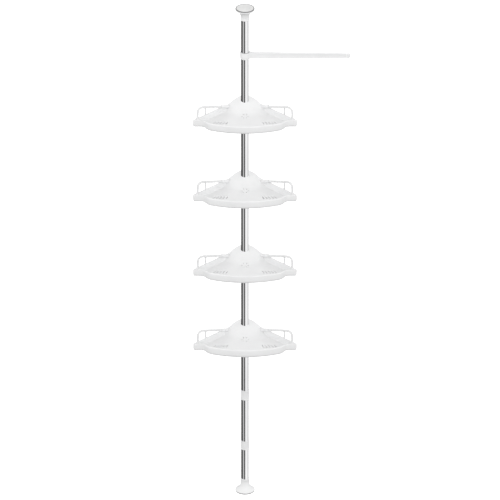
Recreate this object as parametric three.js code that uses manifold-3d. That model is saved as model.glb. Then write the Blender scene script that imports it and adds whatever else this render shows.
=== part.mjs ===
// Floor-to-ceiling corner shower caddy: a sprung tension pole that carries four corner trays
// and a towel arm. Millimetres, +Z up. The origin is the centre of the floor pad's underside,
// on the pole's axis. The corner of the room is towards +Y and the trays' curved fronts face -Y.
import * as THREE from "three";
import { mergeVertices } from "three/addons/utils/BufferGeometryUtils.js";
import Module from "manifold-3d";

// ---- Driving dimensions --------------------------------------------------------------------

const GAP = 0.3; // clearance between pieces that touch
const SIDES = 24; // facets round the pole and everything concentric with it

const POLE_R = 12.5; // 25 mm stainless tube
const WALL = 0.8; // tube wall
const EXTENSION_R = 11.2; // telescoping tube, a running fit in the pole tubes
const BORE_R = POLE_R + GAP; // of whatever goes round the pole

const TOTAL_H = 1740; // floor to ceiling at the pole's shortest
const FOOT_R = 31;
const PAD_H = 2.6;
const PAD_BOSS_R = 20;
const PAD_BOSS_TOP = PAD_H + 1.5; // of the boss that locates the pad in the foot
const PAD_EDGE = 1; // bevel
const NECK_R = 13.8;
const FOOT_H = 45; // floor foot with its pad
const HEAD_H = 42; // ceiling foot with its pad
const SOCKET_Z = 12; // floor of the socket that holds the tubes
const SPIGOT_H = 20; // inside the telescoping tube
const HEAD_TRAVEL = 30; // how far the sprung ceiling foot gives

const LOCK_BOTTOM = 153; // twist-lock collar
const LOCK_TOP = 183;
const COLLET_TOP = 166;
const COLLAR_R = 13.5;
const GRIP_RIBS = 12;
const GRIP_RIB_W = 2;
const GRIP_RIB_ENDS = 5; // plain band above and below the ribs
const GRIP_RIB_PROUD = 0.4;
const COLLET_SLIT = 2;
const COUPLING_Z = 350; // middle of the sleeve that joins the lower and middle tubes
const COUPLING_H = 33;
const JOINT_Z = 1050; // hidden joint of the middle and upper tubes
const JOINT_LENGTH = 90;
const JOINT_WALL = 1.5;
const EXTENSION_TOP = 820;
const GUIDE_PLUG_L = 15; // inside the telescoping tube
const GUIDE_HEAD_L = 12; // above it

const SHELF_COUNT = 4;
const TOP_RIM_Z = 1402.5; // rim of the highest tray
const SHELF_STEP = 268;

const APEX_Y = 45; // rear corner of a tray, behind the pole's axis
const APEX_ROUND = 28;
const FRONT_Y = -172.5; // middle of the curved front
const FRONT_R = 292;
const EAR_X = 173; // sharp corner of an ear, before it is rounded
const EAR_ROUND = 5;
const EAR_ROOT_X = 134; // where the ear's front edge meets the step
const EAR_ROOT_ROUND = 26;
const STEP_X = 116; // where the curved front turns into the step
const STEP_ROUND = 36;
const STEP_LEAD = 10; // of the step's rounding along the front
const EAR_RAISE = 3; // of the ears' undersides above the tray's
const TRAY_H = 28;
const TRAY_WALL = 5;
const FLOOR_T = 3;
const FLOOR_Z = -19; // floor's upper face, from the rim

const HUB_TOP = 9.7; // crown of the bell-shaped hub, above the rim
const HUB_R = 112; // foot of the bell, about the rear corner
const HUB_SKIN = 3;
const BOSS_R = 21;
const BUSH_TOP_Z = 3.5; // from the rim
const BUSH_FOOT_Z = -38;
const BUSH_TOP_R = 14.6;
const BUSH_FOOT_R = 17.6;
const FLANGE_R = 19.5;
const FLANGE_T = 3;
const BUSH_SLIT = 1.2; // between the two halves

const RAIL_R = 4;
const RAIL_INSET = 5.5; // centre line inside the tray's rear face
const RAIL_ROOT = [56, -5.3]; // x and height above the rim, along the rear edge
const RAIL_BEND = [131, 30.9];
const RAIL_ELBOW = [147, 38.6];
const RAIL_DROP = [150.5, 25];
const RAIL_FOOT = [152, -9];
const RAIL_STEPS = 16;
const RAIL_SIDES = 4; // segments in half of the section
const SOCKET_R = 5.4; // of the sleeve and the boss that hold the rail's ends
const SLEEVE_START = [53.5, -6.5];
const SLEEVE_END = [75, 3.9];
const POST_X = 126;
const POST_W = 7;
const POST_T = 2.4;
const POST_TOP = 27;

const SLOT_COUNT = 5; // drain slots in each group
const SLOT_PITCH = 10;
const SLOT_W = 3;
const SLOT_L = 19;
const SLOT_X = 78; // middle of a group
const SLOT_Y = -107;
const GRID_L = 50; // deep block of the floor that a group of slots goes through
const GRID_W = 25;
const HOLE_R = 2.4; // drain holes in front of the hub
const HOLE_RING_R = 10;
const HOLE_COUNT = 6;
const HOLE_Y = -62;
const HOLE_BOSS_R = 15; // thick round of the floor that the holes go through

const ARM_Z = 1572;
const ARM_RING_R = 15.6;
const ARM_BUSH_R = 13.9;
const ARM_COLLAR_H = 22;
const ARM_REACH = 336;
const ARM_CAP_L = 12;
const ARM_ROOT = { h: 21, t: 10 };
const ARM_TIP = { h: 16, t: 7 };
const ARM_DROOP = 2; // of the tip's middle below the root's

const SEAT_Z = 1590; // plug under the spring
const SEAT_H = 8;
const PISTON_H = 10;
const GUIDE_H = 10;
const TUBE_TOP = 1701;
const ROD_R = 9.5;
const SPRING_R = 8.4;
const WIRE_R = 1.1;
const SPRING_TURNS = 7;

// ---- Finishes ------------------------------------------------------------------------------

function finish(color, roughness, metalness) {
  return () => new THREE.MeshStandardMaterial({ color, roughness, metalness });
}
const whitePlastic = finish(0xf2f3f3, 0.35, 0);
const greyPlastic = finish(0xb9bcbf, 0.5, 0);
const chromedSteel = finish(0xd5d8dc, 0.12, 1);
const plainSteel = finish(0xa9adb2, 0.35, 1);
const darkRubber = finish(0x4a4c4e, 0.85, 0);

// ---- Solids --------------------------------------------------------------------------------

const wasm = await Module();
wasm.setup();

// A closed three.js geometry as a solid that can be joined and cut.
function solid(geometry) {
  const bare = geometry.clone();
  bare.deleteAttribute("normal");
  bare.deleteAttribute("uv");
  const merged = mergeVertices(bare, 1e-4);
  const vertProperties = new Float32Array(merged.attributes.position.array);
  const triVerts = new Uint32Array(merged.index.array);
  return new wasm.Manifold(new wasm.Mesh({ numProp: 3, vertProperties, triVerts }));
}

// A solid back as a three.js geometry.
function geometryOf(body) {
  const { vertProperties, triVerts } = body.getMesh();
  const geometry = new THREE.BufferGeometry();
  geometry.setAttribute("position", new THREE.BufferAttribute(vertProperties, 3));
  geometry.setIndex(new THREE.BufferAttribute(triVerts, 1));
  geometry.computeVertexNormals();
  return geometry;
}

function addPiece(group, name, shape, material) {
  const geometry = shape.isBufferGeometry ? shape : geometryOf(shape);
  const mesh = new THREE.Mesh(geometry, material());
  mesh.name = name;
  group.add(mesh);
  return mesh;
}

// A section of [radius, z] points turned about Z, listed with the material on their left.
function turned(section, sides = SIDES) {
  const points = section.map(([r, z]) => new THREE.Vector2(r, z));
  return new THREE.LatheGeometry(points, sides).rotateX(Math.PI / 2);
}

function ring(innerR, outerR, bottom, top) {
  const foot = [innerR, bottom];
  return turned([foot, [outerR, bottom], [outerR, top], [innerR, top], foot]);
}

function disc(r, bottom, top, sides = SIDES) {
  return turned([[0, bottom], [r, bottom], [r, top], [0, top]], sides);
}

function box([x0, y0, z0], [x1, y1, z1]) {
  const block = new THREE.BoxGeometry(x1 - x0, y1 - y0, z1 - z0);
  return block.translate((x0 + x1) / 2, (y0 + y1) / 2, (z0 + z1) / 2);
}

function extruded(shape, bottom, top, curveSegments = 4) {
  const options = { depth: top - bottom, bevelEnabled: false, curveSegments };
  return new THREE.ExtrudeGeometry(shape, options).translate(0, 0, bottom);
}

function joined(pieces) {
  return pieces.reduce((whole, piece) => whole.add(piece));
}

function cut(body, cutters) {
  return cutters.reduce((rest, cutter) => rest.subtract(cutter), body);
}

// ---- Tray outline --------------------------------------------------------------------------

// The points of a corner rounded by r, between its neighbours.
function roundedCorner(at, r, before, after, steps) {
  const a = before.clone().sub(at).normalize();
  const b = after.clone().sub(at).normalize();
  const half = Math.acos(a.dot(b)) / 2;
  const centre = a.clone().add(b).normalize().multiplyScalar(r / Math.sin(half)).add(at);
  const spoke = at.clone().addScaledVector(a, r / Math.tan(half)).sub(centre);
  const turn = -Math.sign(a.cross(b)) * (Math.PI - 2 * half);
  const origin = new THREE.Vector2();
  return Array.from({ length: steps + 1 }, (_, k) =>
    spoke.clone().rotateAround(origin, (turn * k) / steps).add(centre),
  );
}

function roundedOutline(corners, steps) {
  return corners.flatMap(({ at, r }, i) => {
    if (!r) return [at];
    const before = corners.at(i - 1).at;
    const after = corners[(i + 1) % corners.length].at;
    return roundedCorner(at, r, before, after, steps);
  });
}

// The tray in plan, inset all round from its outer faces.
function trayOutline(inset) {
  const apexY = APEX_Y - inset * Math.SQRT2;
  const earY = APEX_Y - EAR_X + inset;
  const frontR = FRONT_R - inset;
  const onFront = (x) => FRONT_Y + FRONT_R - Math.sqrt(frontR ** 2 - x ** 2);
  const stepX = STEP_X - inset / 2;
  const rootX = EAR_ROOT_X - inset / 2;
  const corner = (x, y, r) => ({ at: new THREE.Vector2(x, y), r });
  const right = [
    corner(stepX, onFront(stepX), STEP_ROUND - inset),
    corner(rootX, earY, EAR_ROOT_ROUND + inset),
    corner(apexY - earY, earY, Math.max(EAR_ROUND - inset, 1)),
  ];
  const left = right.map(({ at, r }) => corner(-at.x, at.y, r)).reverse();
  const frontSteps = 8;
  const reach = Math.asin((stepX - STEP_LEAD) / frontR);
  const front = Array.from({ length: frontSteps + 1 }, (_, k) => {
    const x = frontR * Math.sin(reach * ((2 * k) / frontSteps - 1));
    return corner(x, onFront(x), 0);
  });
  const apex = corner(0, apexY, APEX_ROUND - inset);
  return roundedOutline([apex, ...left, ...front, ...right], 2);
}

function traySlab(inset, bottom, top) {
  return solid(extruded(new THREE.Shape(trayOutline(inset)), bottom, top));
}

// ---- Rails ---------------------------------------------------------------------------------

// A point of the rail's centre line: it stays in the upright plane inside a rear edge.
function onRearEdge([x, z], side) {
  return new THREE.Vector3(side * x, APEX_Y - RAIL_INSET * Math.SQRT2 - x, z);
}

function railTube(side, clearance) {
  const [root, bend, elbow, drop, foot] = [
    RAIL_ROOT,
    RAIL_BEND,
    RAIL_ELBOW,
    RAIL_DROP,
    RAIL_FOOT,
  ].map((point) => onRearEdge(point, side));
  if (clearance) {
    root.add(root.clone().sub(bend).setLength(clearance));
    foot.z -= clearance;
  }
  const path = new THREE.CurvePath();
  path.add(new THREE.LineCurve3(root, bend));
  path.add(new THREE.QuadraticBezierCurve3(bend, elbow, drop));
  path.add(new THREE.LineCurve3(drop, foot));
  return roundBar(path, RAIL_R + clearance, RAIL_STEPS);
}

function roundBar(path, radius, steps) {
  const section = new THREE.Shape().absarc(0, 0, radius, 0, 2 * Math.PI);
  const options = { steps, extrudePath: path, curveSegments: RAIL_SIDES };
  return solid(new THREE.ExtrudeGeometry(section, options));
}

// The part of the tray that holds a rail's lower end.
function railSleeve(side) {
  const [start, end] = [SLEEVE_START, SLEEVE_END].map((point) => onRearEdge(point, side));
  return roundBar(new THREE.LineCurve3(start, end), SOCKET_R, 1);
}

// A block along the rear edge, turned to lie with it.
function edgeBlock(x, side, length, thickness, bottom, top) {
  const { x: cx, y: cy } = onRearEdge([x, 0], side);
  const block = box([-length / 2, -thickness / 2, bottom], [length / 2, thickness / 2, top]);
  return solid(block.rotateZ((-side * Math.PI) / 4).translate(cx, cy, 0));
}

function railBody(side) {
  const post = edgeBlock(POST_X, side, POST_W, POST_T, GAP, POST_TOP);
  return railTube(side, 0).add(post);
}

// ---- Tray ----------------------------------------------------------------------------------

// The hub's bell: [distance from the tray's rear corner, height above the rim].
const BELL = [
  [0, HUB_TOP],
  [34, HUB_TOP - 0.3],
  [46, 8],
  [58, 5],
  [72, -0.5],
  [86, -9.5],
  [99, -16.5],
  [HUB_R, FLOOR_Z],
];

function bell(skin, bottom) {
  const crown = BELL.map(([r, z]) => [r - (r && skin / 2), z - skin]);
  const above = crown.filter(([, z]) => z > bottom).reverse();
  return solid(turned([[0, bottom], [above[0][0], bottom], ...above], 24).translate(0, APEX_Y, 0));
}

// The taper of the bush that a tray is pushed down on.
function bushRadius(z) {
  const along = (z - BUSH_FOOT_Z) / (BUSH_TOP_Z - BUSH_FOOT_Z);
  return BUSH_FOOT_R + along * (BUSH_TOP_R - BUSH_FOOT_R);
}

function trayBore() {
  const bottom = -TRAY_H - 1;
  const step = BUSH_TOP_Z + GAP;
  const top = HUB_TOP + 5;
  return solid(
    turned([
      [0, bottom],
      [bushRadius(bottom) + GAP, bottom],
      [bushRadius(step) + GAP, step],
      [POLE_R + 2 * GAP, step],
      [POLE_R + 2 * GAP, top],
      [0, top],
    ]),
  );
}

// One drain slot, turned to point at the tray's rear corner.
function drainSlot(x) {
  const half = [SLOT_W / 2, SLOT_L / 2];
  const cutter = box([-half[0], -half[1], -TRAY_H - 1], [half[0], half[1], FLOOR_Z + 1]);
  return solid(cutter.rotateZ(Math.atan2(x, APEX_Y - SLOT_Y)).translate(x, SLOT_Y, 0));
}

// The floor is as deep as the tray where the slots and holes go through it.
function deepFloors() {
  const half = [GRID_L / 2, GRID_W / 2];
  const grids = [-1, 1].map((side) => {
    const block = box([-half[0], -half[1], -TRAY_H], [half[0], half[1], FLOOR_Z]);
    return solid(block.translate(side * SLOT_X, SLOT_Y, 0));
  });
  const round = solid(disc(HOLE_BOSS_R, -TRAY_H, FLOOR_Z, 16).translate(0, HOLE_Y, 0));
  return [round, ...grids];
}

function drainCutters() {
  const cutters = [];
  for (const side of [-1, 1]) {
    for (let i = 0; i < SLOT_COUNT; i++) {
      cutters.push(drainSlot(side * (SLOT_X + (i - (SLOT_COUNT - 1) / 2) * SLOT_PITCH)));
    }
  }
  for (let i = 0; i < HOLE_COUNT; i++) {
    const angle = (i * 2 * Math.PI) / HOLE_COUNT;
    const hole = disc(HOLE_R, -TRAY_H - 1, FLOOR_Z + 4, 6);
    const y = HOLE_Y + HOLE_RING_R * Math.sin(angle);
    cutters.push(solid(hole.translate(HOLE_RING_R * Math.cos(angle), y, 0)));
  }
  return cutters;
}

// A block that takes in an ear's whole plan, from below the tray up to a height.
function earBlock(side, top) {
  const near = EAR_ROOT_X - 2;
  const [x0, x1] = side > 0 ? [near, EAR_X] : [-EAR_X, -near];
  return solid(box([x0, APEX_Y - EAR_X - 1, -TRAY_H - 1], [x1, APEX_Y - near, top]));
}

function trayBody() {
  const sides = [-1, 1];
  const slab = traySlab(0, -TRAY_H, 0);
  const earFloors = sides.map((side) => earBlock(side, FLOOR_Z + EAR_RAISE));
  const cavity = cut(traySlab(TRAY_WALL, FLOOR_Z, 1), earFloors);
  const pocket = traySlab(TRAY_WALL, -TRAY_H - 1, FLOOR_Z - FLOOR_T);
  const hubSlab = traySlab(0, -TRAY_H, HUB_TOP + 1);
  const hub = bell(0, -TRAY_H).intersect(hubSlab);
  const hollow = bell(HUB_SKIN, -TRAY_H - 1).intersect(traySlab(TRAY_WALL, -TRAY_H - 1, HUB_TOP));
  const boss = solid(disc(BOSS_R, -TRAY_H, HUB_TOP)).intersect(hub);
  const clasps = sides.flatMap((side) => {
    const foot = onRearEdge(RAIL_FOOT, side);
    const socket = solid(disc(SOCKET_R, FLOOR_Z, 0, 10).translate(foot.x, foot.y, 0));
    return [socket, railSleeve(side)];
  });
  const shell = cut(slab, [cavity, pocket]).add(hub).subtract(hollow);
  const whole = joined([shell, boss, ...clasps, ...deepFloors()]);
  const undersides = sides.map((side) => earBlock(side, -TRAY_H + EAR_RAISE));
  const rails = sides.map((side) => railTube(side, GAP));
  return cut(whole, [...undersides, ...rails, ...drainCutters(), trayBore()]);
}

// ---- Bushes --------------------------------------------------------------------------------

// One half of a ring that is split by a slit along X = 0.
function halfOf(body, side) {
  const far = 2 * BUSH_TOP_R - BUSH_FOOT_Z; // beyond any bush
  const near = BUSH_SLIT / 2;
  const [x0, x1] = side > 0 ? [near, far] : [-far, -near];
  return body.intersect(solid(box([x0, -far, -far], [x1, far, far])));
}

function shelfBush() {
  const flangeTop = BUSH_FOOT_Z + FLANGE_T;
  const foot = [BORE_R, BUSH_FOOT_Z];
  return solid(
    turned([
      foot,
      [FLANGE_R, BUSH_FOOT_Z],
      [FLANGE_R, flangeTop],
      [bushRadius(flangeTop), flangeTop],
      [BUSH_TOP_R, BUSH_TOP_Z],
      [BORE_R, BUSH_TOP_Z],
      foot,
    ]),
  );
}

function armBush() {
  return solid(ring(BORE_R, ARM_BUSH_R, -ARM_COLLAR_H / 2, ARM_COLLAR_H / 2));
}

// ---- Towel arm -----------------------------------------------------------------------------

// The tapered bar between two distances from the axis.
function armBar(from, to) {
  const along = (x) => x / ARM_REACH;
  const mix = (key, x) => ARM_ROOT[key] + (ARM_TIP[key] - ARM_ROOT[key]) * along(x);
  const corners = (key, sag) => {
    const half = (x) => mix(key, x) / 2;
    const middle = (x) => -sag * along(x);
    return [
      [from, middle(from) - half(from)],
      [to, middle(to) - half(to)],
      [to, middle(to) + half(to)],
      [from, middle(from) + half(from)],
    ].map(([x, y]) => new THREE.Vector2(x, y));
  };
  const prism = (shape) => extruded(new THREE.Shape(shape), -ARM_ROOT.h, ARM_ROOT.h);
  const side = prism(corners("h", ARM_DROOP)).rotateX(Math.PI / 2);
  return solid(prism(corners("t", 0))).intersect(solid(side));
}

function towelArm() {
  const half = ARM_COLLAR_H / 2;
  const collar = solid(disc(ARM_RING_R, -half, half));
  const bore = solid(disc(ARM_BUSH_R + GAP, -half - 1, half + 1));
  return collar.add(armBar(0, ARM_REACH - ARM_CAP_L)).subtract(bore);
}

// ---- Feet ----------------------------------------------------------------------------------

// The trumpet's outer face, from the wide rim to the neck, by height above the pad.
const TRUMPET = [
  [FOOT_R, 0],
  [FOOT_R, 3.2],
  [26, 5],
  [19.5, 10],
  [15.8, 17],
  [NECK_R, 26],
];

// The pad's face rests on the floor or ceiling. Its boss locates it in the foot.
function footPad() {
  return turned([
    [0, 0],
    [FOOT_R - PAD_EDGE, 0],
    [FOOT_R, PAD_EDGE],
    [FOOT_R, PAD_H - GAP],
    [PAD_BOSS_R, PAD_H - GAP],
    [PAD_BOSS_R, PAD_BOSS_TOP],
    [0, PAD_BOSS_TOP],
  ]);
}

// The foot that stands on the pad: its neck is a socket, and its spigot fills the inner tube.
function foot(neckTop, socketZ, spigot) {
  const outside = TRUMPET.map(([r, z]) => [r, z + PAD_H]);
  return turned([
    [0, PAD_BOSS_TOP + GAP],
    [PAD_BOSS_R + GAP, PAD_BOSS_TOP + GAP],
    [PAD_BOSS_R + GAP, PAD_H],
    ...outside,
    [NECK_R, neckTop],
    [BORE_R, neckTop],
    [BORE_R, socketZ],
    ...spigot,
    [0, spigot.length ? spigot.at(-1)[1] : socketZ],
  ]);
}

function tubePiece(group, name, bottom, top) {
  addPiece(group, name, ring(POLE_R - WALL, POLE_R, bottom, top), chromedSteel);
}

// ---- Assembly ------------------------------------------------------------------------------

const caddy = new THREE.Group();

function addFloorStand() {
  const innerR = EXTENSION_R - WALL;
  const spigotR = innerR - GAP;
  const spigotTop = SOCKET_Z + SPIGOT_H;
  addPiece(caddy, "floor_pad", footPad(), darkRubber);
  const spigot = [
    [spigotR, SOCKET_Z],
    [spigotR, spigotTop],
  ];
  addPiece(caddy, "floor_foot", foot(FOOT_H, SOCKET_Z, spigot), whitePlastic);
  tubePiece(caddy, "foot_tube", SOCKET_Z + GAP, LOCK_BOTTOM - GAP);
  const extension = ring(innerR, EXTENSION_R, SOCKET_Z + GAP, EXTENSION_TOP);
  addPiece(caddy, "extension_tube", extension, plainSteel);
  const guideR = POLE_R - WALL - GAP;
  const guide = turned([
    [0, EXTENSION_TOP - GUIDE_PLUG_L],
    [spigotR, EXTENSION_TOP - GUIDE_PLUG_L],
    [spigotR, EXTENSION_TOP + GAP],
    [guideR, EXTENSION_TOP + GAP],
    [guideR, EXTENSION_TOP + GUIDE_HEAD_L],
    [0, EXTENSION_TOP + GUIDE_HEAD_L],
  ]);
  addPiece(caddy, "extension_guide", guide, greyPlastic);
}

// The collar that tightens the collet, with ribs for wet fingers.
function lockCollar() {
  const sleeve = solid(ring(BORE_R, COLLAR_R, LOCK_BOTTOM, LOCK_TOP));
  const ribs = Array.from({ length: GRIP_RIBS }, (_, k) => {
    const from = [COLLAR_R - GRIP_RIB_PROUD, -GRIP_RIB_W / 2, LOCK_BOTTOM + GRIP_RIB_ENDS];
    const to = [COLLAR_R + GRIP_RIB_PROUD, GRIP_RIB_W / 2, LOCK_TOP - GRIP_RIB_ENDS];
    const rib = box(from, to);
    return solid(rib.rotateZ((k * 2 * Math.PI) / GRIP_RIBS));
  });
  return joined([sleeve, ...ribs]);
}

function addPole() {
  const insideR = POLE_R - WALL - GAP;
  const slit = solid(
    box([0, -COLLET_SLIT / 2, LOCK_BOTTOM], [2 * POLE_R, COLLET_SLIT / 2, COLLET_TOP + 1]),
  );
  const collet = solid(ring(EXTENSION_R + GAP, POLE_R, LOCK_BOTTOM + 1, COLLET_TOP)).subtract(slit);
  addPiece(caddy, "lock_collet", collet, greyPlastic);
  addPiece(caddy, "lock_collar", lockCollar(), whitePlastic);
  tubePiece(caddy, "lower_tube", COLLET_TOP + GAP, COUPLING_Z - GAP / 2);
  const half = COUPLING_H / 2;
  const coupling = ring(BORE_R, COLLAR_R, COUPLING_Z - half, COUPLING_Z + half);
  addPiece(caddy, "tube_coupling", coupling, whitePlastic);
  tubePiece(caddy, "middle_tube", COUPLING_Z + GAP / 2, JOINT_Z - GAP / 2);
  const reach = JOINT_LENGTH / 2;
  const joint = ring(insideR - JOINT_WALL, insideR, JOINT_Z - reach, JOINT_Z + reach);
  addPiece(caddy, "tube_joint", joint, plainSteel);
  tubePiece(caddy, "upper_tube", JOINT_Z + GAP / 2, TUBE_TOP);
  addPiece(caddy, "spring_seat", disc(insideR, SEAT_Z, SEAT_Z + SEAT_H), greyPlastic);
  const guide = ring(ROD_R + GAP, insideR, TUBE_TOP - GUIDE_H, TUBE_TOP);
  addPiece(caddy, "plunger_guide", guide, greyPlastic);
}

class Helix extends THREE.Curve {
  constructor(radius, bottom, top, turns) {
    super();
    Object.assign(this, { radius, bottom, top, turns });
  }

  getPoint(t, target = new THREE.Vector3()) {
    const angle = t * this.turns * 2 * Math.PI;
    const z = this.bottom + t * (this.top - this.bottom);
    return target.set(this.radius * Math.cos(angle), this.radius * Math.sin(angle), z);
  }
}

function addCeilingHead() {
  const pistonTop = TUBE_TOP - GUIDE_H - GAP;
  const pistonBottom = pistonTop - PISTON_H;
  const socketZ = TUBE_TOP + HEAD_TRAVEL + GAP;
  const head = new THREE.Group();
  head.position.z = TOTAL_H;
  head.rotation.x = Math.PI;
  addPiece(head, "ceiling_pad", footPad(), darkRubber);
  addPiece(head, "ceiling_foot", foot(HEAD_H, TOTAL_H - socketZ, []), whitePlastic);
  caddy.add(head);
  const plunger = turned([
    [0, pistonBottom],
    [POLE_R - WALL - GAP, pistonBottom],
    [POLE_R - WALL - GAP, pistonTop],
    [ROD_R, pistonTop],
    [ROD_R, socketZ - GAP],
    [0, socketZ - GAP],
  ]);
  addPiece(caddy, "plunger", plunger, plainSteel);
  const bottom = SEAT_Z + SEAT_H + WIRE_R + GAP;
  const path = new Helix(SPRING_R, bottom, pistonBottom - WIRE_R - GAP, SPRING_TURNS);
  const wire = new THREE.Shape().absarc(0, 0, WIRE_R, 0, 2 * Math.PI);
  const options = { steps: SPRING_TURNS * 9, extrudePath: path, curveSegments: 3 };
  addPiece(caddy, "tension_spring", new THREE.ExtrudeGeometry(wire, options), plainSteel);
}

function addShelf(index, tray, rails, bushHalves) {
  const shelf = new THREE.Group();
  const prefix = `shelf_${index + 1}_`;
  shelf.position.z = TOP_RIM_Z - index * SHELF_STEP;
  addPiece(shelf, prefix + "tray", tray, whitePlastic);
  ["left", "right"].forEach((side, k) => {
    addPiece(shelf, `${prefix}rail_${side}`, rails[k], whitePlastic);
    addPiece(shelf, `${prefix}bush_${side}`, bushHalves[k], greyPlastic);
  });
  caddy.add(shelf);
}

function addShelves() {
  const tray = geometryOf(trayBody());
  const rails = [-1, 1].map((side) => geometryOf(railBody(side)));
  const bush = shelfBush();
  const bushHalves = [-1, 1].map((side) => geometryOf(halfOf(bush, side)));
  for (let i = 0; i < SHELF_COUNT; i++) addShelf(i, tray, rails, bushHalves);
}

function addArm() {
  const arm = new THREE.Group();
  arm.position.z = ARM_Z;
  const bush = armBush();
  addPiece(arm, "arm_bush_left", halfOf(bush, -1), greyPlastic);
  addPiece(arm, "arm_bush_right", halfOf(bush, 1), greyPlastic);
  addPiece(arm, "towel_arm", towelArm(), whitePlastic);
  addPiece(arm, "arm_end_cap", armBar(ARM_REACH - ARM_CAP_L + GAP, ARM_REACH), whitePlastic);
  caddy.add(arm);
}

addFloorStand();
addPole();
addCeilingHead();
addShelves();
addArm();

export default caddy;
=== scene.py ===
import math

import bmesh
import bpy
import numpy as np
from mathutils import Matrix, Vector


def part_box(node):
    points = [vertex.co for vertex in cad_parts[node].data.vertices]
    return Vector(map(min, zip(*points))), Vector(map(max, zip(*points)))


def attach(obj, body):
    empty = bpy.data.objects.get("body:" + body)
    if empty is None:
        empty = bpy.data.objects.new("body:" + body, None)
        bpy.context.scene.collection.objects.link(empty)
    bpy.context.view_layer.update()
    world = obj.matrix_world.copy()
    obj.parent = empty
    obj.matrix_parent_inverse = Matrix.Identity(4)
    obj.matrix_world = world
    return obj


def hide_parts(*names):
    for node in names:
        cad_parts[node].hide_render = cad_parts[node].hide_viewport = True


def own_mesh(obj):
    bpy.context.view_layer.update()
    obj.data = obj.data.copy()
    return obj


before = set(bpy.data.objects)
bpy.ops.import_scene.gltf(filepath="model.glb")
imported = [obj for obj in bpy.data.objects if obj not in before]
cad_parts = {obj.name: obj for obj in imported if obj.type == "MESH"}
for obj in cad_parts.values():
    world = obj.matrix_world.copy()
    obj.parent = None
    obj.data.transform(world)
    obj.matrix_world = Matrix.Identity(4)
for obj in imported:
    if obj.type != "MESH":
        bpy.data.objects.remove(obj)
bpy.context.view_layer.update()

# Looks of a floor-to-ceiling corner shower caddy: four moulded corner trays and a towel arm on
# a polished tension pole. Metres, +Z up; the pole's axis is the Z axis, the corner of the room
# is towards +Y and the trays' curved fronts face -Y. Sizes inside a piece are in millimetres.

MM = 0.001
TAU = 2 * math.pi
SQRT2 = math.sqrt(2)


# ---- Measures taken from the frame ----------------------------------------------------------


def low(node, axis=2):
    """Where a CAD node begins along an axis, in millimetres."""
    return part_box(node)[0][axis] / MM


def high(node, axis=2):
    """Where a CAD node ends along an axis, in millimetres."""
    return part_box(node)[1][axis] / MM


GAP = 0.3  # room between pieces that touch
POLE_R = high("upper_tube", 0)
BORE_R = POLE_R + GAP
EXTENSION_R = high("extension_tube", 0)
WALL = 0.8  # of every tube

SHELF_COUNT = 4
TRAY_H = 28  # from underside to rim
TRAY_X = high("shelf_1_tray", 0)
TRAY_REAR = high("shelf_1_tray", 1)
TRAY_FRONT = low("shelf_1_tray", 1)

# The tray in plan. Its rear edges meet at a right angle in the corner of the room.
REAR_ROUND = 28
REAR_Y = TRAY_REAR + REAR_ROUND * (SQRT2 - 1)
FRONT_R = 292
FRONT_CENTRE_Y = TRAY_FRONT + FRONT_R
EAR_ROUND = 5
EAR_TIP = 1.49  # how far the ear would stand out without its round, in radii of that round
EAR_X = TRAY_X + EAR_ROUND * EAR_TIP
EAR_Y = REAR_Y - EAR_X
EAR_ROOT_X = 134
EAR_ROOT_ROUND = 26
STEP_X = 116
STEP_ROUND = 36
STEP_LEAD = 10

FLOOR_Z = -19  # upper face of the tray's floor, from the rim
FLOOR_T = 3
EAR_RAISE = 3  # of the floor and the underside in the ears
EAR_RAISE_FROM = 121  # distances from the middle line where they begin to rise and are up
EAR_RAISE_TO = 133
HUB_SKIN = 3
HUB_BLEND = 6  # easing where the hub meets the floor and the walls
OVER_HUB = 20  # a height above the whole hub
BOSS_R = 21  # round the tapered bore

# The bushes' cone, with heights from the rim too.
BUSH_TOP_R = 14.6
BUSH_TOP_Z = 3.5
BUSH_FOOT_R = 17.6
BUSH_FOOT_Z = -38
BUSH_TAPER = (BUSH_FOOT_R - BUSH_TOP_R) / (BUSH_TOP_Z - BUSH_FOOT_Z)
FLANGE_R = 19.5  # at the bush's foot
FLANGE_T = 3


# ---- Materials ------------------------------------------------------------------------------

NOISE_LOW = 0.35  # nearly all of the noise lies between these
NOISE_HIGH = 0.65


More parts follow.
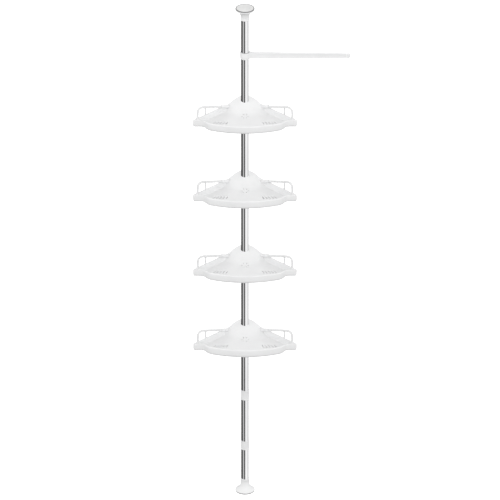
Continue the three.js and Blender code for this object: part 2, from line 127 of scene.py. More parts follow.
class Finish:
    """A material and the nodes that give it its surface."""

    def __init__(self, name, metallic=0.0, ior=1.5, sheen=0.5):
        self.material = bpy.data.materials.new(name)
        self.material.use_nodes = True
        self.tree = self.material.node_tree
        self.shader = self.tree.nodes["Principled BSDF"]
        self.shader.inputs["Metallic"].default_value = metallic
        self.shader.inputs["IOR"].default_value = ior
        self.shader.inputs["Specular IOR Level"].default_value = sheen
        self.place = self.add("ShaderNodeTexCoord").outputs["Object"]

    def add(self, kind, **inputs):
        node = self.tree.nodes.new(kind)
        for name, value in inputs.items():
            node.inputs[name].default_value = value
        return node

    def link(self, source, target):
        self.tree.links.new(source, target)

    def noise(self, scale, detail=2.0, stretch=(1, 1, 1)):
        """Noise over the piece, with features about 1/scale metres across."""
        mapping = self.add("ShaderNodeMapping", Scale=stretch)
        self.link(self.place, mapping.inputs["Vector"])
        noise = self.add("ShaderNodeTexNoise", Scale=scale, Detail=detail)
        self.link(mapping.outputs["Vector"], noise.inputs["Vector"])
        return noise.outputs["Fac"]

    def colour(self, source, dark, light):
        ramp = self.add("ShaderNodeValToRGB")
        ramp.color_ramp.elements[0].position = NOISE_LOW
        ramp.color_ramp.elements[1].position = NOISE_HIGH
        ramp.color_ramp.elements[0].color = (*dark, 1)
        ramp.color_ramp.elements[1].color = (*light, 1)
        self.link(source, ramp.inputs["Fac"])
        self.link(ramp.outputs["Color"], self.shader.inputs["Base Color"])

    def roughness(self, source, smooth, rough):
        ranged = self.add("ShaderNodeMapRange")
        ranged.inputs["From Min"].default_value = NOISE_LOW
        ranged.inputs["From Max"].default_value = NOISE_HIGH
        ranged.inputs["To Min"].default_value = smooth
        ranged.inputs["To Max"].default_value = rough
        self.link(source, ranged.inputs["Value"])
        self.link(ranged.outputs["Result"], self.shader.inputs["Roughness"])

    def bump(self, source, height, strength):
        bump = self.add("ShaderNodeBump", Strength=strength, Distance=height)
        self.link(source, bump.inputs["Height"])
        self.link(bump.outputs["Normal"], self.shader.inputs["Normal"])


def moulded_plastic(name, dark, light, smooth, rough, grain=1400):
    """Injection-moulded plastic: faint flow clouds in the colour, and a fine orange peel."""
    finish = Finish(name, ior=1.49, sheen=0.3)
    finish.colour(finish.noise(26, 4), dark, light)
    finish.roughness(finish.noise(70, 3), smooth, rough)
    finish.bump(finish.noise(grain, 2), 0.00003, 0.35)
    return finish.material


def polished_steel(name, dark, light, smooth, rough):
    """Drawn tube polished round and round: hair-fine rings in the gloss, soft cloudy bands."""
    finish = Finish(name, metallic=1.0, ior=2.5)
    finish.colour(finish.noise(30, 3, stretch=(1, 1, 0.12)), dark, light)
    finish.roughness(finish.noise(55, 5, stretch=(1, 1, 12)), smooth, rough)
    finish.bump(finish.noise(90, 3, stretch=(1, 1, 25)), 0.00001, 0.12)
    return finish.material


def moulded_rubber(name, dark, light):
    finish = Finish(name, ior=1.45)
    finish.colour(finish.noise(120, 4), dark, light)
    finish.roughness(finish.noise(300, 3), 0.68, 0.86)
    finish.bump(finish.noise(1800, 3), 0.00008, 0.6)
    return finish.material


WHITE = moulded_plastic("white_plastic", (0.855, 0.857, 0.86), (0.88, 0.882, 0.884), 0.40, 0.50)
# The rails' plastic is a darker copy of the white plastic. This is painted shade: their tops stand in
# more open light than the trays, and the darker colour keeps them from showing brighter.
RAIL_WHITE_SHADED = moulded_plastic("rail_plastic_painted_shade", (0.79, 0.792, 0.795), (0.815, 0.817, 0.819), 0.40, 0.50)
GREY = moulded_plastic("grey_plastic", (0.46, 0.47, 0.48), (0.52, 0.53, 0.54), 0.42, 0.55)
FOAM = moulded_plastic("pad_foam", (0.74, 0.74, 0.735), (0.79, 0.79, 0.785), 0.72, 0.9, 2600)
CHROME = polished_steel("pole_tube", (0.80, 0.80, 0.81), (0.88, 0.88, 0.885), 0.05, 0.10)
STEEL = polished_steel("inner_steel", (0.52, 0.53, 0.54), (0.62, 0.63, 0.64), 0.24, 0.38)
RUBBER = moulded_rubber("rubber", (0.17, 0.171, 0.173), (0.23, 0.231, 0.233))


# ---- Mesh helpers ---------------------------------------------------------------------------

SHARP_ANGLE = 40  # edges sharper than this, in degrees, stay sharp
SHARP_CUT_ANGLE = 35  # the same where meshes are joined or cut
CORNER_STEPS = 3


def shade(mesh, sharp_angle):
    mesh.shade_smooth()
    mesh.set_sharp_from_angle(angle=math.radians(sharp_angle))
    return mesh


def as_mesh(name, points, faces):
    """A smooth mesh of points in millimetres."""
    mesh = bpy.data.meshes.new(name)
    mesh.from_pydata([tuple(p) for p in np.asarray(points) * MM], [], faces)
    bm = bmesh.new()
    bm.from_mesh(mesh)
    bmesh.ops.recalc_face_normals(bm, faces=bm.faces)
    bm.to_mesh(mesh)
    bm.free()
    return shade(mesh, SHARP_ANGLE)


def loft(rings, closed_loft=False, caps=False):
    """Points and faces of a skin over rings with the same number of points."""
    count = len(rings[0])
    points = np.concatenate(rings)
    faces = []
    for k in range(len(rings) - (0 if closed_loft else 1)):
        a = k * count
        b = (k + 1) % len(rings) * count
        for i in range(count):
            j = (i + 1) % count
            faces.append((a + i, a + j, b + j, b + i))
    if caps:
        faces.append(tuple(range(count)))
        faces.append(tuple(range(len(points) - count, len(points))))
    return points, faces


def on_curve(start, corner, end, t):
    """The point at t, from 0 to 1, on the curve that rounds off a corner."""
    return (1 - t) ** 2 * start + 2 * t * (1 - t) * corner + t * t * end


def softened(section, radius):
    """A closed section of [r, z] points with its corners rounded off."""
    corners = [np.array(p, float) for p in section]
    result = []
    for i, at in enumerate(corners):
        before = corners[i - 1] - at
        after = corners[(i + 1) % len(corners)] - at
        a, b = np.linalg.norm(before), np.linalg.norm(after)
        reach = min(radius, 0.45 * a, 0.45 * b)
        start, end = at + before / a * reach, at + after / b * reach
        for k in range(CORNER_STEPS + 1):
            result.append(on_curve(start, at, end, k / CORNER_STEPS))
    return result


def turned(section, sides=96, start=0.0, sweep=TAU, swell=None):
    """A closed section turned about Z, all the way round or over part of a turn. The swell
    says how far each of its points is pushed outward."""
    whole = abs(sweep - TAU) < 1e-9
    angles = start + sweep * np.arange(sides if whole else sides + 1) / sides
    rings = []
    for angle in angles:
        ring = np.array([[r * math.cos(angle), r * math.sin(angle), z] for r, z in section])
        if swell:
            extra = np.array([swell(angle, r, z) for r, z in section])
            ring[:, 0] += extra * math.cos(angle)
            ring[:, 1] += extra * math.sin(angle)
        rings.append(ring)
    return loft(rings, closed_loft=whole, caps=not whole)


def ring_section(inner, outer, bottom, top):
    return [(inner, bottom), (outer, bottom), (outer, top), (inner, top)]


def smooth_line(points, spread):
    """A function through [x, y] points, with its corners eased over the spread on each side."""
    xs, ys = np.array(points, float).T
    offsets = np.linspace(-spread, spread, 9)
    return lambda x: np.mean([np.interp(np.asarray(x) + o, xs, ys) for o in offsets], axis=0)


def smooth_max(a, b, blend):
    reach = np.maximum(blend - np.abs(a - b), 0) / blend
    return np.maximum(a, b) + reach * reach * blend / 4


def smooth_min(a, b, blend):
    return -smooth_max(-a, -b, blend)


def combined(mesh, others, operation):
    """The mesh joined with, or cut by, other closed meshes that stay clear of each other."""
    body = bpy.data.objects.new("body", mesh)
    bpy.context.collection.objects.link(body)
    tools = []
    for k, other in enumerate(others):
        tool = bpy.data.objects.new(f"tool_{k}", other)
        bpy.context.collection.objects.link(tool)
        tools.append(tool)
        modifier = body.modifiers.new(tool.name, "BOOLEAN")
        modifier.operation = operation
        modifier.solver = "EXACT"
        modifier.object = tool
    graph = bpy.context.evaluated_depsgraph_get()
    result = bpy.data.meshes.new_from_object(body.evaluated_get(graph))
    for used in [body, *tools]:
        bpy.data.objects.remove(used)
    result.name = mesh.name
    return result


def merged(meshes, name):
    """Several closed meshes as one."""
    bm = bmesh.new()
    for mesh in meshes:
        bm.from_mesh(mesh)
    whole = bpy.data.meshes.new(name)
    bm.to_mesh(whole)
    bm.free()
    return whole


def put(name, mesh, material, body, nodes=(), z=0.0):
    """Shows a mesh as a piece at that height, riding on a body in the place of CAD nodes.
    Several pieces can share a mesh."""
    if not mesh.materials:
        mesh.materials.append(material)
    piece = bpy.data.objects.new(name, mesh)
    bpy.context.collection.objects.link(piece)
    piece.location.z = z * MM
    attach(piece, body)
    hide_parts(*nodes)
    return piece


def put_turned(name, section, material, slot, body, nodes=(), **options):
    mesh = as_mesh(name, *turned(section, **options))
    return put(name, mesh, material, body, nodes)


# ---- Tray -----------------------------------------------------------------------------------

REAR_STEPS = 40  # points along a rear edge
FRONT_STEPS = 26  # points along half of the curved front
RIM_W = 5.6  # the rolled rim
RIM_OUTER_R = 4.0
RIM_CRISP_R = 1.5  # the same along the rear edges and round the ears
RIM_INNER_R = 1.2
FOOT_OUTER_R = 9.0  # round edge under the outer wall
FOOT_INNER_R = 6.0  # between the inner wall and the floor
DRAFT = 0.5  # lean of the inner wall
FLOOR_INSET = RIM_W + DRAFT + FOOT_INNER_R
HOLLOW_SIDE = [(10.1, FLOOR_Z - FLOOR_T), (10.5, -17), (10.8, -8), (11.0, 2)]  # inset, height
HOLLOW_INSET = 11.2  # of the hollow under the tray, past its side
CEILING_BLEND = 1.5  # easing inside the hollow, and at its edge
HOLLOW_BLEND = 1.0
HUB_START = 4.6  # from the edge of the pole's hole

# The lip round the pole's hole: distance from the hole's edge, and height over the hub.
HOLE_LIP = [(0.0, -1.0), (0.0, 0.35), (0.35, 0.8), (1.4, 0.9), (2.3, 0.6), (2.7, 0.15), (3.6, 0.0)]

# The hub's height over the rim, by the distance from the rear corner.
BELL_LINE = [(-30, 9.7), (34, 9.4), (46, 8), (58, 5), (72, -0.5), (86, -9.5), (99, -16.8)]
BELL_LINE += [(108, -21), (240, -85)]
BELL = smooth_line(BELL_LINE, 5)


def corner_arc(at, radius, before, after, steps):
    """Points of a corner rounded by a radius, between its neighbours."""
    a = (before - at) / np.linalg.norm(before - at)
    b = (after - at) / np.linalg.norm(after - at)
    half = math.acos(float(a @ b)) / 2
    middle = (a + b) / np.linalg.norm(a + b)
    centre = at + middle * radius / math.sin(half)
    spoke = at + a * radius / math.tan(half) - centre
    turn = -np.sign(a[0] * b[1] - a[1] * b[0]) * (math.pi - 2 * half)
    points = []
    for k in range(steps + 1):
        c, s = math.cos(turn * k / steps), math.sin(turn * k / steps)
        points.append(centre + (c * spoke[0] - s * spoke[1], s * spoke[0] + c * spoke[1]))
    return points


def between(start, end, steps):
    """Points on a straight edge, without its ends."""
    return [start + (end - start) * k / steps for k in range(1, steps)]


def tray_outline(inset):
    """The tray in plan, from the rear corner clockwise seen from above. It is inset all round,
    by about half as much in the hollow between an ear and the front."""
    rear = REAR_Y - inset * SQRT2
    ear_y = EAR_Y + inset
    front_r = FRONT_R - inset
    step_x = STEP_X - inset / 2
    reach = math.asin((step_x - STEP_LEAD) / front_r)

    def on_front(angle):
        return np.array([front_r * math.sin(angle), FRONT_CENTRE_Y - front_r * math.cos(angle)])

    apex = np.array([0.0, rear])
    ear = np.array([rear - ear_y, ear_y])
    root = np.array([EAR_ROOT_X - inset / 2, ear_y])
    step = on_front(math.asin(step_x / front_r))
    apex_r = REAR_ROUND - inset
    centre = apex - (0, apex_r * SQRT2)
    tip_angles = np.linspace(0, TAU / 8, 7)
    tip = [centre + apex_r * np.array([math.sin(a), math.cos(a)]) for a in tip_angles]
    ear_arc = corner_arc(ear, max(EAR_ROUND - inset, 1), apex, root, 6)
    root_arc = corner_arc(root, EAR_ROOT_ROUND, ear, step, 10)
    step_arc = corner_arc(step, STEP_ROUND - inset, root, on_front(reach), 8)
    right = [
        *tip,
        *between(tip[-1], ear_arc[0], REAR_STEPS),
        *ear_arc,
        *between(ear_arc[-1], root_arc[0], 7),
        *root_arc,
        *between(root_arc[-1], step_arc[0], 3),
        *step_arc,
        *[on_front(reach * (1 - k / FRONT_STEPS)) for k in range(FRONT_STEPS + 1)],
    ]
    right = np.array(right)
    left = right[-2:0:-1] * (-1, 1)
    return np.concatenate([right, left])


def eased(value, start, end):
    """Eases from 0 to 1 as the value goes from start to end."""
    t = np.clip((value - start) / (end - start), 0, 1)
    return t * t * (3 - 2 * t)


def in_ear(plan):
    """0 in the tray's middle and 1 in its raised ears."""
    return eased(np.abs(plan[:, 0]), EAR_RAISE_FROM, EAR_RAISE_TO)


def from_rear_corner(plan):
    return np.hypot(plan[:, 0], plan[:, 1] - REAR_Y)


def upper_ring(plan, z, drop=0.0):
    """A ring of the tray's upper skin: the higher of the wall or floor and the hub's bell,
    which is let down by the drop."""
    base = z * (1 - EAR_RAISE / -FLOOR_Z * in_ear(plan))
    bell = BELL(from_rear_corner(plan)) - drop
    return np.column_stack([plan, smooth_max(base, bell, HUB_BLEND)])


def lower_ring(plan, z, ceiling=None):
    """A ring of the underside, which is hollow under the hub up to the ceiling."""
    height = z * (1 - EAR_RAISE / TRAY_H * in_ear(plan))
    if ceiling is not None:
        hollow = smooth_min(BELL(from_rear_corner(plan)) - HUB_SKIN, ceiling, CEILING_BLEND)
        height = smooth_max(height, hollow, HOLLOW_BLEND)
    return np.column_stack([plan, height])


def arc_points(centre, radius, start, end, steps):
    """Points [inset, z] on an arc, angles in degrees."""
    angles = np.radians(np.linspace(start, end, steps + 1))
    return [(centre[0] + radius * math.cos(a), centre[1] + radius * math.sin(a)) for a in angles]


def rim_ring(turn):
    """A ring over the rim's outer edge, which is full along the front and crisp elsewhere."""
    rings = []
    for radius in (RIM_OUTER_R, RIM_CRISP_R):
        inset, z = arc_points((radius, -radius), radius, turn, turn, 0)[0]
        rings.append(upper_ring(tray_outline(inset), z, -z))
    crisp = eased(rings[0][:, 1:2], EAR_Y - 15, EAR_Y)
    return rings[0] * (1 - crisp) + rings[1] * crisp


def tray_top_rings(outward):
    """From the lip of the pole's hole over the hub and the floor, up the wall and over the rim."""
    hole_r = BORE_R + GAP
    rings = []
    for out, proud in HOLE_LIP:
        ring = upper_ring(outward * (hole_r + out), FLOOR_Z)
        ring[:, 2] += proud
        rings.append(ring)
    start = outward * (hole_r + HUB_START)
    floor_edge = tray_outline(FLOOR_INSET)
    for t in np.linspace(0, 1, 33)[:-1]:
        rings.append(upper_ring(start + (floor_edge - start) * t, FLOOR_Z))
    wall = arc_points((FLOOR_INSET, FLOOR_Z + FOOT_INNER_R), FOOT_INNER_R, 270, 180, 6)
    wall += arc_points((RIM_W - RIM_INNER_R, -RIM_INNER_R), RIM_INNER_R, 0, 90, 4)
    rings += [upper_ring(tray_outline(inset), z) for inset, z in wall]
    rings += [rim_ring(turn) for turn in np.linspace(90, 180, 8)]
    return rings


def tray_underside_rings(outward):
    """Round the lower edge of the wall, through the hollow and down the side of the boss."""
    skirt = arc_points((FOOT_OUTER_R, FOOT_OUTER_R - TRAY_H), FOOT_OUTER_R, 180, 270, 8)
    skirt += [(9.4, 0.4 - TRAY_H), (9.7, 1.4 - TRAY_H)]
    rings = [lower_ring(tray_outline(inset), z) for inset, z in skirt]
    underside = FLOOR_Z - FLOOR_T
    for inset, ceiling in HOLLOW_SIDE:
        rings.append(lower_ring(tray_outline(inset), underside, ceiling))
    inner = outward * (BOSS_R + 0.9)
    hollow_edge = tray_outline(HOLLOW_INSET)
    for t in np.linspace(1, 0, 24):
        rings.append(lower_ring(inner + (hollow_edge - inner) * t, underside, OVER_HUB))
    ceiling = rings[-1][:, 2]
    for r, z in [(BOSS_R + 0.3, ceiling - 0.4), (BOSS_R, ceiling - 1.4), (BOSS_R, 0.8 - TRAY_H)]:
        rings.append(np.column_stack([outward * r, np.broadcast_to(z, len(outward))]))
    return rings


def tray_bore_rings(outward):
    """Under the boss and up its tapered bore to the pole's hole."""
    bore_top = BUSH_TOP_R + GAP
    bore_foot = bore_top + BUSH_TAPER * (BUSH_TOP_Z + TRAY_H)
    ledge = BUSH_TOP_Z + GAP
    bore = [
        (BOSS_R - 0.8, -TRAY_H),
        (bore_foot + 0.7, -TRAY_H),
        (bore_foot, 0.7 - TRAY_H),
        (bore_top, ledge),
        (BORE_R + GAP, ledge),
    ]
    return [np.column_stack([outward * r, np.full(len(outward), z)]) for r, z in bore]


def tray_skin():
    """The whole tray as one closed skin of rings with the same number of points."""
    edge = tray_outline(FLOOR_INSET)
    outward = edge / np.linalg.norm(edge, axis=1)[:, None]
    rings = tray_top_rings(outward) + tray_underside_rings(outward) + tray_bore_rings(outward)
    return loft(rings, closed_loft=True)


# ---- What is cut into the tray, and what stands in it ---------------------------------------

SLOT_COUNT = 5
SLOT_PITCH = 10
SLOT_W = 3
SLOT_L = 19
SLOT_X = 78
SLOT_Y = -107
HOLE_COUNT = 6
HOLE_R = 2.4
HOLE_RING_R = 10
HOLE_Y = -62
HOLE_BOSS_R = 15  # thick round of the floor that the holes go through
GRID_L = 50  # deep block of the floor that a group of slots goes through
GRID_W = 25
CHAMFER = 0.4
SLOT_STEPS = 8  # round each end


def slot_outline(width, length):
    """A slot with round ends, along Y."""
    r = width / 2
    straight = length / 2 - r
    points = []
    for end, start in [(1, 0), (-1, math.pi)]:
        for k in range(SLOT_STEPS + 1):
            angle = start + math.pi * k / SLOT_STEPS
            points.append((r * math.cos(angle), r * math.sin(angle) + end * straight))
    return np.array(points)


def drain_cutter(name, width, length, x, y, turn):
    """A cutter through the whole floor that leaves a chamfered edge on both faces."""
    top = upper_ring(np.array([[x, y]]), FLOOR_Z)[0, 2]
    levels = [
        (-TRAY_H - 1, CHAMFER + 1),
        (-TRAY_H + CHAMFER, 0),
        (top - CHAMFER, 0),
        (top + 1, CHAMFER + 1),
    ]
    c, s = math.cos(turn), math.sin(turn)
    rings = []
    for z, flare in levels:
        plan = slot_outline(width + 2 * flare, length + 2 * flare) @ np.array([[c, s], [-s, c]])
        rings.append(np.column_stack([plan + (x, y), np.full(len(plan), z)]))
    return as_mesh(name, *loft(rings, caps=True))


def drain_cutters():
    """The slots point at the rear corner. A hole is a slot that is hardly longer than wide."""
    cutters = []
    for side in (-1, 1):
        for i in range(SLOT_COUNT):
            x = side * (SLOT_X + (i - (SLOT_COUNT - 1) / 2) * SLOT_PITCH)
            turn = math.atan2(x, REAR_Y - SLOT_Y)
            cutters.append(drain_cutter("slot", SLOT_W, SLOT_L, x, SLOT_Y, turn))
    for i in range(HOLE_COUNT):
        angle = i * TAU / HOLE_COUNT
        x = HOLE_RING_R * math.cos(angle)
        y = HOLE_Y + HOLE_RING_R * math.sin(angle)
        cutters.append(drain_cutter("hole", 2 * HOLE_R, 2 * HOLE_R + 0.01, x, y, 0))
    return cutters


# The rails' centre line stays in the upright plane inside a rear edge: x and height over the rim.
RAIL_R = 4
RAIL_INSET = 5.5
RAIL_ROOT = (56, -5.3)
RAIL_BEND = (131, 30.9)
RAIL_ELBOW = (147, 38.6)
RAIL_DROP = (150.5, 25)
RAIL_FOOT = (152, -9)
SOCKET_R = 5.4  # of the sleeve and the boss that hold the rail's ends
SLEEVE_START = (53.5, -6.5)
SLEEVE_END = (75, 3.9)
POST_X = 126
POST_W = 7
POST_T = 2.4
POST_TOP = 27
BEND_STEPS = 14
BAR_SIDES = 24

# Steps of a bar's ends, in radii: how thick it still is, and how far it stands out.
ROUND_ENDS = ((0.92, 0.38), (0.71, 0.71), (0.38, 0.92))
FLAT_ENDS = ((0.96, 0.1), (0.9, 0.15))


def on_rear_edge(point, side):
    x, z = point
    return np.array([side * x, REAR_Y - RAIL_INSET * SQRT2 - x, z])


def rail_path(side):
    root, bend, elbow, drop, foot = [
        on_rear_edge(p, side) for p in (RAIL_ROOT, RAIL_BEND, RAIL_ELBOW, RAIL_DROP, RAIL_FOOT)
    ]
    path = [root + (bend - root) * t for t in np.linspace(0, 1, 7)[:-1]]
    path += [on_curve(bend, elbow, drop, t) for t in np.linspace(0, 1, BEND_STEPS + 1)]
    path += [drop + (foot - drop) * t for t in np.linspace(0, 1, 5)[1:]]
    return np.array(path)


def swept(path, radius, ends=ROUND_ENDS):
    """A round bar along a path in one upright plane."""
    tangents = np.gradient(path, axis=0)
    tangents /= np.linalg.norm(tangents, axis=1)[:, None]
    across = np.cross(path[0] - path[-1], (0, 0, 1))
    across /= np.linalg.norm(across)
    stations = [(p, t, radius) for p, t in zip(path, tangents)]
    for shrink, push in ends:
        stations.insert(0, (path[0] - tangents[0] * radius * push, tangents[0], radius * shrink))
        stations.append((path[-1] + tangents[-1] * radius * push, tangents[-1], radius * shrink))
    angles = np.arange(BAR_SIDES) * TAU / BAR_SIDES
    rings = []
    for point, tangent, r in stations:
        up = np.cross(tangent, across)
        rings.append(point + r * (np.outer(np.cos(angles), across) + np.outer(np.sin(angles), up)))
    return loft(rings, caps=True)


def rounded_block(name, size, bottom, top, middle, turn, radius):
    """A block with its edges rounded, turned about its own upright middle line."""
    bm = bmesh.new()
    bmesh.ops.create_cube(bm, size=1)
    bmesh.ops.scale(bm, verts=bm.verts, vec=(*size, top - bottom))
    bmesh.ops.bevel(
        bm, geom=bm.edges[:], offset=radius, segments=3, profile=0.5, affect="EDGES", clamp_overlap=True
    )
    turned_by = Matrix.Rotation(turn, 4, "Z")
    shift = Matrix.Translation((*middle, (bottom + top) / 2))
    bmesh.ops.transform(bm, verts=bm.verts, matrix=Matrix.Scale(MM, 4) @ shift @ turned_by)
    mesh = bpy.data.meshes.new(name)
    bm.to_mesh(mesh)
    bm.free()
    return mesh


def upright_disc(name, radius, bottom, top, x, y, edge):
    """A round boss with a rounded edge."""
    section = softened([(0.01, bottom), (radius, bottom), (radius, top), (0.01, top)], edge)
    points, faces = turned(section, sides=48)
    return as_mesh(name, points + (x, y, 0), faces)


def tray_mesh():
    skin = as_mesh("tray", *tray_skin())
    stands = [upright_disc("drain_boss", HOLE_BOSS_R, -TRAY_H, FLOOR_Z - 1, 0, HOLE_Y, 0.8)]
    channels = []
    for side in (-1, 1):
        middle = (side * SLOT_X, SLOT_Y)
        stands.append(rounded_block("grid", (GRID_L, GRID_W), -TRAY_H, FLOOR_Z - 1, middle, 0, 1.2))
        sleeve_ends = [on_rear_edge(point, side) for point in (SLEEVE_START, SLEEVE_END)]
        sleeve = swept(np.linspace(*sleeve_ends, 5), SOCKET_R, FLAT_ENDS)
        stands.append(as_mesh("sleeve", *sleeve))
        x, y, _ = on_rear_edge(RAIL_FOOT, side)
        stands.append(upright_disc("socket", SOCKET_R, FLOOR_Z - 1, 0.8, x, y, 1.6))
        channels.append(as_mesh("channel", *swept(rail_path(side), RAIL_R + GAP)))
    whole = combined(skin, [merged(stands, "stands")], "UNION")
    return combined(whole, [merged(drain_cutters() + channels, "cutters")], "DIFFERENCE")


def rail_mesh(side):
    bar = as_mesh("rail", *swept(rail_path(side), RAIL_R))
    x, y, _ = on_rear_edge((POST_X, 0), side)
    post = rounded_block("post", (POST_W, POST_T), 0.1, POST_TOP, (x, y), -side * math.pi / 4, 0.7)
    return shade(combined(bar, [post], "UNION"), SHARP_CUT_ANGLE)


# ---- Bushes ---------------------------------------------------------------------------------

SLIT = 0.05  # half of the gap between two halves, in radians


def split_half(section, side):
    """Half of a turned piece, split by a slit along X = 0."""
    start = (-math.pi / 2 if side > 0 else math.pi / 2) + SLIT
    return turned(section, sides=48, start=start, sweep=math.pi - 2 * SLIT)


def shelf_bush_section():
    flange_top = BUSH_FOOT_Z + FLANGE_T
    return softened(
        [
            (BORE_R, BUSH_FOOT_Z),
            (FLANGE_R, BUSH_FOOT_Z),
            (FLANGE_R, flange_top),
            (BUSH_FOOT_R - BUSH_TAPER * FLANGE_T, flange_top),
            (BUSH_TOP_R, BUSH_TOP_Z),
            (BORE_R, BUSH_TOP_Z),
        ],
        0.6,
    )


def add_shelves():
    """Four trays with their rails and bushes. The polished tubes don't mirror the white parts."""
    tray = shade(tray_mesh(), SHARP_CUT_ANGLE)
    rails = {"left": rail_mesh(-1), "right": rail_mesh(1)}
    section = shelf_bush_section()
    bushes = {
        "left": as_mesh("bush_left", *split_half(section, -1)),
        "right": as_mesh("bush_right", *split_half(section, 1)),
    }
    for k in range(1, SHELF_COUNT + 1):
        body = f"shelf_{k}"
        rim = low(f"{body}_tray") + TRAY_H
        moulding = put(f"{body}_moulding", tray, WHITE, body, [f"{body}_tray"], rim)
        moulding.visible_glossy = False
        for side in ("left", "right"):
            name = f"{body}_guard_{side}"
            rail = [f"{body}_rail_{side}"]
            guard = put(name, rails[side], RAIL_WHITE_SHADED, body, rail, rim)
            guard.visible_glossy = False
            name = f"{body}_cone_{side}"
            bush = [f"{body}_bush_{side}"]
            put(name, bushes[side], GREY, f"{body}_clamp", bush, rim)


# ---- Pole -----------------------------------------------------------------------------------

COLLAR_R = 13.3  # of the sleeve and the twist lock, between their beads
RIB_COUNT = 24  # on the twist lock
RIB_H = 0.45
RIB_START = 5  # where the ribs begin and are full, from either end
RIB_FULL = 7


def put_tube(name, node, body, outer=POLE_R, material=CHROME, slot="pole_tube"):
    """A tube. It throws no shade, as under a light tent, so the white hubs stay even round it."""
    section = softened(ring_section(outer - WALL, outer, low(node), high(node)), 0.3)
    tube = put_turned(name, section, material, slot, body, [node])
    tube.visible_shadow = False
    tube.visible_diffuse = False


def beaded_section(bottom, top, bead_r, bead_h):
    """A sleeve on the pole with a low bead round each end."""
    return softened(
        [
            (BORE_R, bottom),
            (bead_r, bottom),
            (bead_r, bottom + bead_h),
            (COLLAR_R, bottom + bead_h + 0.5),
            (COLLAR_R, top - bead_h - 0.5),
            (bead_r, top - bead_h),
            (bead_r, top),
            (BORE_R, top),
        ],
        0.6,
    )


def add_twist_lock():
    """A beaded collar with upright grip ribs that fade out towards its beads."""
    bottom, top = low("lock_collar"), high("lock_collar")
    collar = beaded_section(bottom, top, 13.8, 3)
    fade = [(bottom, 0), (bottom + RIB_START, 0), (bottom + RIB_FULL, 1)]
    fade += [(top - RIB_FULL, 1), (top - RIB_START, 0), (top, 0)]
    strength = smooth_line(fade, 1)

    # More points are put along the straight side, for the ribs to swell.
    on_body = [i for i, (r, z) in enumerate(collar) if r > COLLAR_R - 0.1 and z < (bottom + top) / 2]
    last = on_body[-1] + 1
    added = [np.array([COLLAR_R, z]) for z in np.linspace(bottom + 4, top - 4, 15)[1:-1]]

    def ribs(angle, r, z):
        wave = max(math.cos(RIB_COUNT * angle), 0) ** 2
        return RIB_H * wave * float(strength(z)) if r > COLLAR_R - 0.1 else 0.0

    section = [*collar[:last], *added, *collar[last:]]
    nodes = ["lock_collar"]
    put_turned("twist_lock", section, WHITE, "white_plastic", "lock_ring", nodes, sides=240, swell=ribs)


def add_pole():
    put_tube("tube_at_foot", "foot_tube", "floor_stand")
    put_tube("tube_telescoping", "extension_tube", "floor_stand", EXTENSION_R, STEEL, "inner_steel")
    put_tube("tube_lower", "lower_tube", "pole")
    put_tube("tube_middle", "middle_tube", "pole")
    put_tube("tube_upper", "upper_tube", "pole")
    bottom, top = low("tube_coupling"), high("tube_coupling")
    sleeve = beaded_section(bottom, top, 13.75, 3.2)
    put_turned("sleeve", sleeve, WHITE, "white_plastic", "pole", ["tube_coupling"])
    add_twist_lock()


# ---- Feet -----------------------------------------------------------------------------------

FOOT_R = high("floor_pad", 0)
PAD_H = low("floor_foot")
FOOT_SOCKET_Z = 12  # where the tube stands in the floor foot
SPIGOT_H = 20
NECK_R = 13.8
NECK_BEAD_R = 14.15
PAD_BOSS_R = 20  # round on the pad's back, held in a hollow of the foot
PAD_RING_R = 30.3
PAD_RING_INNER_R = 27.9
PAD_MIDDLE_R = 27.6
GROOVE_COUNT = 8
GROOVE_PITCH = 3.1


def trumpet_section(neck_top, socket_z, spigot_r=0.0, spigot_top=0.0):
    """A foot's section above its pad: a flat rim that flares down from the neck."""
    flare_line = [(-5, FOOT_R), (4.4, FOOT_R), (6.2, 26.4), (11, 19.8), (18, 15.9)]
    flare_line += [(27, NECK_R), (60, NECK_R)]
    flare = smooth_line(flare_line, 1.6)
    outside = [(float(flare(h)), PAD_H + h) for h in np.linspace(4.8, 30, 27)]
    hollow_r = PAD_BOSS_R + GAP
    hollow = [(0.01, PAD_H + 1.8), (hollow_r, PAD_H + 1.8), (hollow_r, PAD_H)]
    rim = [(PAD_RING_R, PAD_H), (30.8, PAD_H + 0.3), (FOOT_R, PAD_H + 0.9), (FOOT_R, PAD_H + 3.0)]
    rim += [(30.7, PAD_H + 3.8), (29.9, PAD_H + 4.3)]
    neck = [(NECK_R, neck_top - 3.4), (NECK_BEAD_R, neck_top - 2.9)]
    neck += [(NECK_BEAD_R, neck_top - 0.5), (NECK_R, neck_top)]
    inside = [(BORE_R, neck_top), (BORE_R, socket_z)]
    if spigot_r:
        inside += [(spigot_r, socket_z), (spigot_r, spigot_top)]
    return [*hollow, *rim, *outside, *neck, *inside, (0.01, inside[-1][1])]


def pad_ring_section():
    top = PAD_H - GAP
    face = [(PAD_RING_INNER_R, 0), (PAD_RING_R - 0.7, 0), (PAD_RING_R, 0.6)]
    return softened([*face, (PAD_RING_R, top), (PAD_RING_INNER_R, top)], 0.4)


def pad_centre_section():
    """The soft middle of a pad, with fine concentric grooves on the face that grips."""
    top = PAD_H - GAP
    face = []
    for k in range(GROOVE_COUNT):
        r = 25.8 - GROOVE_PITCH * k
        face += [(r, 0.25), (r - 0.5, 0.7), (r - 0.9, 0.7), (r - 1.4, 0.25)]
    boss = [(0.01, PAD_H + 1.5), (PAD_BOSS_R, PAD_H + 1.5), (PAD_BOSS_R, top)]
    side = [(PAD_MIDDLE_R, top), (PAD_MIDDLE_R, 0.6), (27.3, 0.25)]
    return [*side, *face, (0.01, 0.25), *boss]


def upside_down(section, height):
    return [(r, height - z) for r, z in section]


